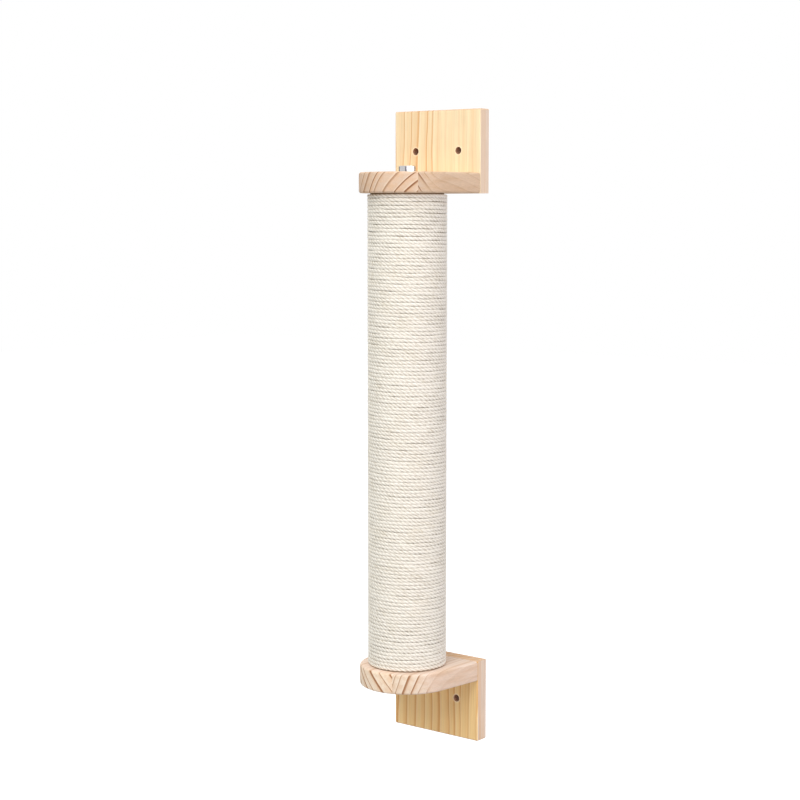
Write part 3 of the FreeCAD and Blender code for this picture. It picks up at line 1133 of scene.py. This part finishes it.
    def shares(self, angle: np.ndarray, run: np.ndarray) -> np.ndarray:
        """Share of the rope's radius at each point, uneven along the rope.

        A strand is a circle of radius s whose middle lies 1 - s from the rope's, so the share is
        (1 - s) cos a + sqrt(s^2 - (1 - s)^2 sin^2 a), with a taken to the nearest strand. How
        loosely the strands lie, and how thick the rope is, change slowly along it.

        Args:
            angle: Angles from the first strand's middle, sections by points.
            run: Length along the rope, in millimetres.

        Returns:
            Shares, about 1 at the middle of a strand.
        """
        apart = 2 * math.pi / self.strands
        near = np.mod(angle + apart / 2, apart) - apart / 2
        offset = 1 - self.strand_share
        share = offset * np.cos(near) + np.sqrt(self.strand_share ** 2 - (offset * np.sin(near)) ** 2)
        looseness = 0.97 + 0.14 * wave(run, 1 / 17, 2.5, 1 / 67)
        share = 1 - (1 - share) * looseness[:, None]
        swell = wave(run, 1 / 7.3, 2.0, 1 / 41) + 0.8 * wave(run, 1 / 2.9, 3.0, 1 / 23)
        return share * (1 + self.swell * (swell - 1.8))[:, None]

    def twist(self, run: np.ndarray) -> np.ndarray:
        """Turn of the strands: 2 pi a lay, a little faster and slower in places.

        Args:
            run: Length along the rope, in millimetres.

        Returns:
            Radians.
        """
        even = 2 * math.pi * run * MM / self.lay
        return even + 1.1 * wave(run, 1 / 31) + 0.5 * wave(run, 1 / 12, phase=1.0)

    def across(self, line: np.ndarray) -> tuple[np.ndarray, np.ndarray]:
        """Unit vectors square to the rope: side = tangent x Z, and up = side x tangent.

        Args:
            line: Points of the centre line.

        Returns:
            The side and the up of each point.
        """
        tangent = np.gradient(line, axis=0)
        tangent /= np.linalg.norm(tangent, axis=1)[:, None]
        side = np.cross(tangent, (0.0, 0.0, 1.0))
        side /= np.linalg.norm(side, axis=1)[:, None]
        return side, np.cross(side, tangent)

    def depth(self, share: np.ndarray, angles: np.ndarray) -> np.ndarray:
        """Share of painted shade at each point, by how far down it lies in the rope's hollows, 0 to 1.

        It is 0.8 * (1 - share) / deepest between the strands, and 0.2 * sin(a) ** 4 more where
        the next turn lies against it.

        Args:
            share: Share of the rope's radius at each point.
            angles: Directions of a cross section's points.

        Returns:
            The depths, sections by points.
        """
        between_strands = np.clip((1 - share) / self.deepest, 0, 1)
        return between_strands * 0.8 + np.abs(np.sin(angles)) ** 4 * 0.2

    def build(self, axis: Vector, rope: bpy.types.Material) -> list[bpy.types.Object]:
        """Build and dress the rope.

        A section's point at angle a lies share * (depth cos a, height sin a) from the centre
        line, and no higher than half a turn, where the next turn begins.

        Args:
            axis: Place of the post's axis.
            rope: The rope's material.

        Returns:
            Its pieces.
        """
        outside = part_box("rope_winding")[1].x
        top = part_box("post_tube")[1].z - self.end_gap
        skip = 1
        line = self.centre_line(top, outside - self.radial_half)[::skip]
        half_turn = top / (self.turns - self.bend_turns)
        side, up = self.across(line)
        run = np.arange(len(line)) * (self.step * skip) / MM
        twist = self.twist(run)
        angles = self.section_angles()
        share = self.shares(angles[None, :] + twist[:, None], run)
        aside = (self.radial_half * share * np.cos(angles))[..., None] * side[:, None, :]
        height = np.clip(half_turn * self.fullness * share * np.sin(angles), -half_turn, half_turn)
        above = height[..., None] * up[:, None, :]
        points = line[:, None, :] + aside + above + np.array([axis.x, axis.y, 0.0])
        # Shade to paint into the dips between strands and where turns lie together.
        hollow_shade = self.depth(share, angles)
        around = (np.append(angles, angles[0] + 2 * math.pi)[None, :] + twist[:, None]) / (2 * math.pi)
        uv = np.stack(np.broadcast_arrays(run[:, None], around), axis=-1)
        return [self.part(i, points, hollow_shade, uv, rope) for i in range(self.parts)]

    def part(self, number: int, points: np.ndarray, hollow_shade: np.ndarray, uv: np.ndarray,
             rope: bpy.types.Material) -> bpy.types.Object:
        """Build one length of the rope, closed at both ends.

        Args:
            number: Which length, from 0.
            points: Every cross section's points.
            hollow_shade: Share of painted shade at each point, more where it lies between strands or turns, 0
                to 1.
            uv: Length along the rope and turns round it.
            rope: The rope's material.

        Returns:
            The piece.
        """
        cuts = np.linspace(0, len(points) - 1, self.parts + 1).astype(int)
        rows = slice(cuts[number], cuts[number + 1] + 1)
        piece = surface(f"rope_{number + 1}", points[rows], caps=True, uv=uv[rows], sharp_angle=180)
        depth = piece.data.attributes.new("hollow_shade", "FLOAT", "POINT")
        depth.data.foreach_set("value", hollow_shade[rows].ravel().astype(np.float32))
        dress(piece, rope)
        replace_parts(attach(piece, BODY), "rope_winding")
        return piece


@dataclass
class PostCore:
    """What the rope and the shelves hide: tube, end plugs, inserts, brads and dowels.

    Attributes:
        ends: The ends of the post that have the same pieces.
    """

    ends: tuple[str, ...] = ("upper", "lower")

    def build(self, effects: Effects, metal: bpy.types.Material) -> list[bpy.types.Object]:
        """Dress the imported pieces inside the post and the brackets.

        Args:
            effects: The shared node groups.
            metal: The plated metal.

        Returns:
            The dressed pieces.
        """
        wood = TurnedWood().material(effects)
        pieces = {"end_plug": wood, "bracket_dowels": wood, "plug_insert": metal, "plug_brads": metal}
        looks = {f"{end}_{name}": look for end in self.ends for name, look in pieces.items()}
        looks["post_tube"] = WoundBoard().material(effects)
        for node, look in looks.items():
            dress(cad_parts[node], look)
        return [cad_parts[node] for node in looks]


# ---------------------------------------------------------------- studio
@dataclass(frozen=True)
class Lamp:
    """Square lamp that faces the object's middle.

    Attributes:
        name: The lamp's name.
        place: Where it hangs.
        size: Length of its side.
        power: Its power in watts.
        colour: Its colour.
    """

    name: str
    place: tuple[float, float, float]
    size: float
    power: float
    colour: Colour

    def hang(self) -> None:
        """Add the lamp to the scene."""
        data = bpy.data.lights.new(self.name, "AREA")
        data.size = self.size
        data.energy = self.power
        data.color = self.colour
        lamp = linked(self.name, data)
        lamp.location = self.place
        lamp.rotation_euler = (-Vector(self.place)).to_track_quat("-Z", "Y").to_euler()


@dataclass
class Studio:
    """White floor, soft lamps and an even sky.

    Attributes:
        floor_height: Height of the floor, well below the hung object.
        floor_size: Length of the floor's side.
        floor_white: Light that the floor adds to its own shading in the camera's view.
        sky: Strength of the even light.
        sky_colour: Its colour.
        lamps: The lamps.
    """

    floor_height: float = -0.60
    floor_size: float = 14.0
    floor_white: float = 0.75
    sky: float = 0.60
    sky_colour: Colour = (0.98, 0.98, 1.0)
    lamps: tuple[Lamp, ...] = (
        Lamp("key", (0.42, -1.95, 1.25), 1.1, 21.4, (1.0, 0.985, 0.94)),
        Lamp("above", (0.1, -0.8, 2.0), 1.2, 11.5, (1.0, 0.98, 0.95)),
        Lamp("right_fill", (2.0, -0.6, 0.3), 0.9, 13.5, (1.0, 0.90, 0.95)),
        Lamp("back_fill", (0.2, 2.3, 0.6), 1.2, 6, (1.0, 0.98, 0.96)))

    def floor(self) -> None:
        """White floor that stays white to the camera, and lets it look through from below."""
        half = self.floor_size / 2
        corners = [(x * half, y * half, self.floor_height) for x, y in ((-1, -1), (1, -1), (1, 1), (-1, 1))]
        mesh = bpy.data.meshes.new("floor")
        mesh.from_pydata(corners, [], [(0, 1, 2, 3)])
        floor = linked("floor", mesh)
        finish = Finish("white_floor")
        nodes = finish.nodes
        camera_only = nodes.times(nodes.add("LightPath").outputs["Is Camera Ray"], self.floor_white)
        from_below = nodes.add("NewGeometry").outputs["Backfacing"]
        finish.set(Base_Color=(0.55, 0.55, 0.55), Roughness=0.9, Specular_IOR_Level=0.0,
                   Emission_Color=(1.0, 1.0, 1.0), Emission_Strength=camera_only,
                   Alpha=nodes.math("SUBTRACT", 1.0, from_below))
        dress(floor, finish.material)

    def background(self) -> None:
        """Even sky for light, pure white where the camera or a reflection sees it."""
        world = bpy.data.worlds.new("studio")
        bpy.context.scene.world = world
        world.use_nodes = True
        world.node_tree.nodes.clear()
        nodes = Shading(world.node_tree)
        path = nodes.add("LightPath").outputs
        seen = nodes.math("MAXIMUM", path["Is Camera Ray"], path["Is Glossy Ray"])
        seen = nodes.math("MAXIMUM", seen, path["Is Transmission Ray"])
        light = nodes.add("Background", {"Color": self.sky_colour, "Strength": self.sky})
        white = nodes.add("Background", {"Color": (1.0, 1.0, 1.0), "Strength": 1.0})
        both = nodes.add("MixShader", {0: seen, 1: light.outputs[0], 2: white.outputs[0]})
        nodes.add("OutputWorld", {"Surface": both.outputs[0]})

    def build(self) -> None:
        """Set up the floor, the sky and the lamps."""
        self.floor()
        self.background()
        for lamp in self.lamps:
            lamp.hang()


@dataclass
class PhotoCamera:
    """Camera at the photograph's place.

    Attributes:
        azimuth: Degrees to the right of straight in front of the wall.
        pitch: Degrees that it looks down.
        distance: From the point that it looks at.
        focal_pixels: Focal length, in pixels of the frame.
        frame_pixels: Width of the frame, in pixels.
        aside: How far right of the post the point that it looks at lies, in the camera's view.
        above: How far above the post's middle that point lies.
        depth: Distance of that point from the wall.
    """

    azimuth: float = 38.6
    pitch: float = 6.1
    distance: float = 1.4714
    focal_pixels: float = 1750.0
    frame_pixels: int = 800
    aside: float = -13.5 * MM
    above: float = 25.4 * MM
    depth: float = 40 * MM

    def build(self) -> None:
        """Place the camera and make it the scene's own."""
        data = bpy.data.cameras.new("photo_camera")
        data.sensor_width = 36.0
        data.lens = self.focal_pixels * data.sensor_width / self.frame_pixels
        data.clip_end = 50
        turn, tilt = math.radians(self.azimuth), math.radians(self.pitch)
        look = Vector((-math.sin(turn) * math.cos(tilt), math.cos(turn) * math.cos(tilt), -math.sin(tilt)))
        right = Vector((math.cos(turn), math.sin(turn), 0))
        target = Vector((0, -self.depth, self.above)) + right * self.aside
        camera = linked("photo_camera", data)
        camera.location = target - look * self.distance
        camera.rotation_euler = Matrix((right, right.cross(look), -look)).transposed().to_euler()
        bpy.context.scene.camera = camera


# ---------------------------------------------------------------- main
def pine_brackets() -> list[Bracket]:
    """Describe the two brackets, each board sawn and coloured as the photograph shows it.

    Returns:
        The upper and the lower bracket.
    """
    upper_plate = Strip((-150.0, 70.0), 6.6)
    lower_plate = Strip((-120.0, 80.0), 6.6)
    colours = {"early": srgb(243, 225, 186), "late": srgb(231, 189, 137), "line": srgb(214, 160, 104),
               "end_wood": srgb(226, 192, 160), "side_light_tint": srgb(234, 213, 196), "contrast": 0.8}
    # The lower plate gets a warmer, more saturated copy of these colours: painted warm light bounced into the
    # shade under its shelf.
    painted_shade_colours = dict(colours, early=srgb(243, 210, 150), late=srgb(226, 172, 104), line=srgb(206, 150, 88),
                  side_light_tint=srgb(232, 217, 207))
    upper = Bracket("upper",
                    Pine("upper_plate_pine", Grain.UPRIGHT, upper_plate, upper_plate,
                         holes=(22.5, 233.5), calm_from=-6.0, **colours),
                    Pine("upper_shelf_pine", Grain.OUTWARD, Strip((165.0, 96.0), 6.9),
                         Strip((-160.0, 130.0), 3.0, tone=0.83), joint=31.0, end_wood=srgb(216, 191, 168),
                         side_light_tint=srgb(236, 206, 176)))
    lower = Bracket("lower",
                    Pine("lower_plate_pine", Grain.UPRIGHT, lower_plate, lower_plate,
                         holes=(22.5, -233.5), **painted_shade_colours),
                    Pine("lower_shelf_pine", Grain.OUTWARD, Strip((-200.0, -362.0), 7.0, tone=1.06),
                         Strip((230.0, -272.0), 4.6, tone=0.95), joint=14.0, end_wood=srgb(240, 223, 201),
                         early=srgb(240, 219, 202), line=srgb(160, 110, 72)))
    return [upper, lower]


def main() -> None:
    """Build the studio, the camera and every sub-assembly, and report each piece."""
    logging.basicConfig(level=logging.INFO, format="%(name)s: %(message)s")
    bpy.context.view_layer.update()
    bpy.context.scene.view_settings.view_transform = "Standard"
    tube_low, tube_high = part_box("post_tube")
    axis = (tube_low + tube_high) / 2
    effects = Effects()
    metal = Zinc().material(effects)
    PhotoCamera().build()
    Studio().build()
    brackets = pine_brackets()
    built = [piece for bracket in brackets for piece in bracket.build(axis, effects)]
    built += [piece for bracket in brackets for piece in HexBolt(bracket.end).build(axis, metal)]
    built += RopeWinding().build(axis, Cord().material(effects))
    built += PostCore().build(effects, metal)
    for piece in built:
        LOG.info("%s: %d faces", piece.name, len(piece.data.polygons))


if __name__ == "__main__":
    main()
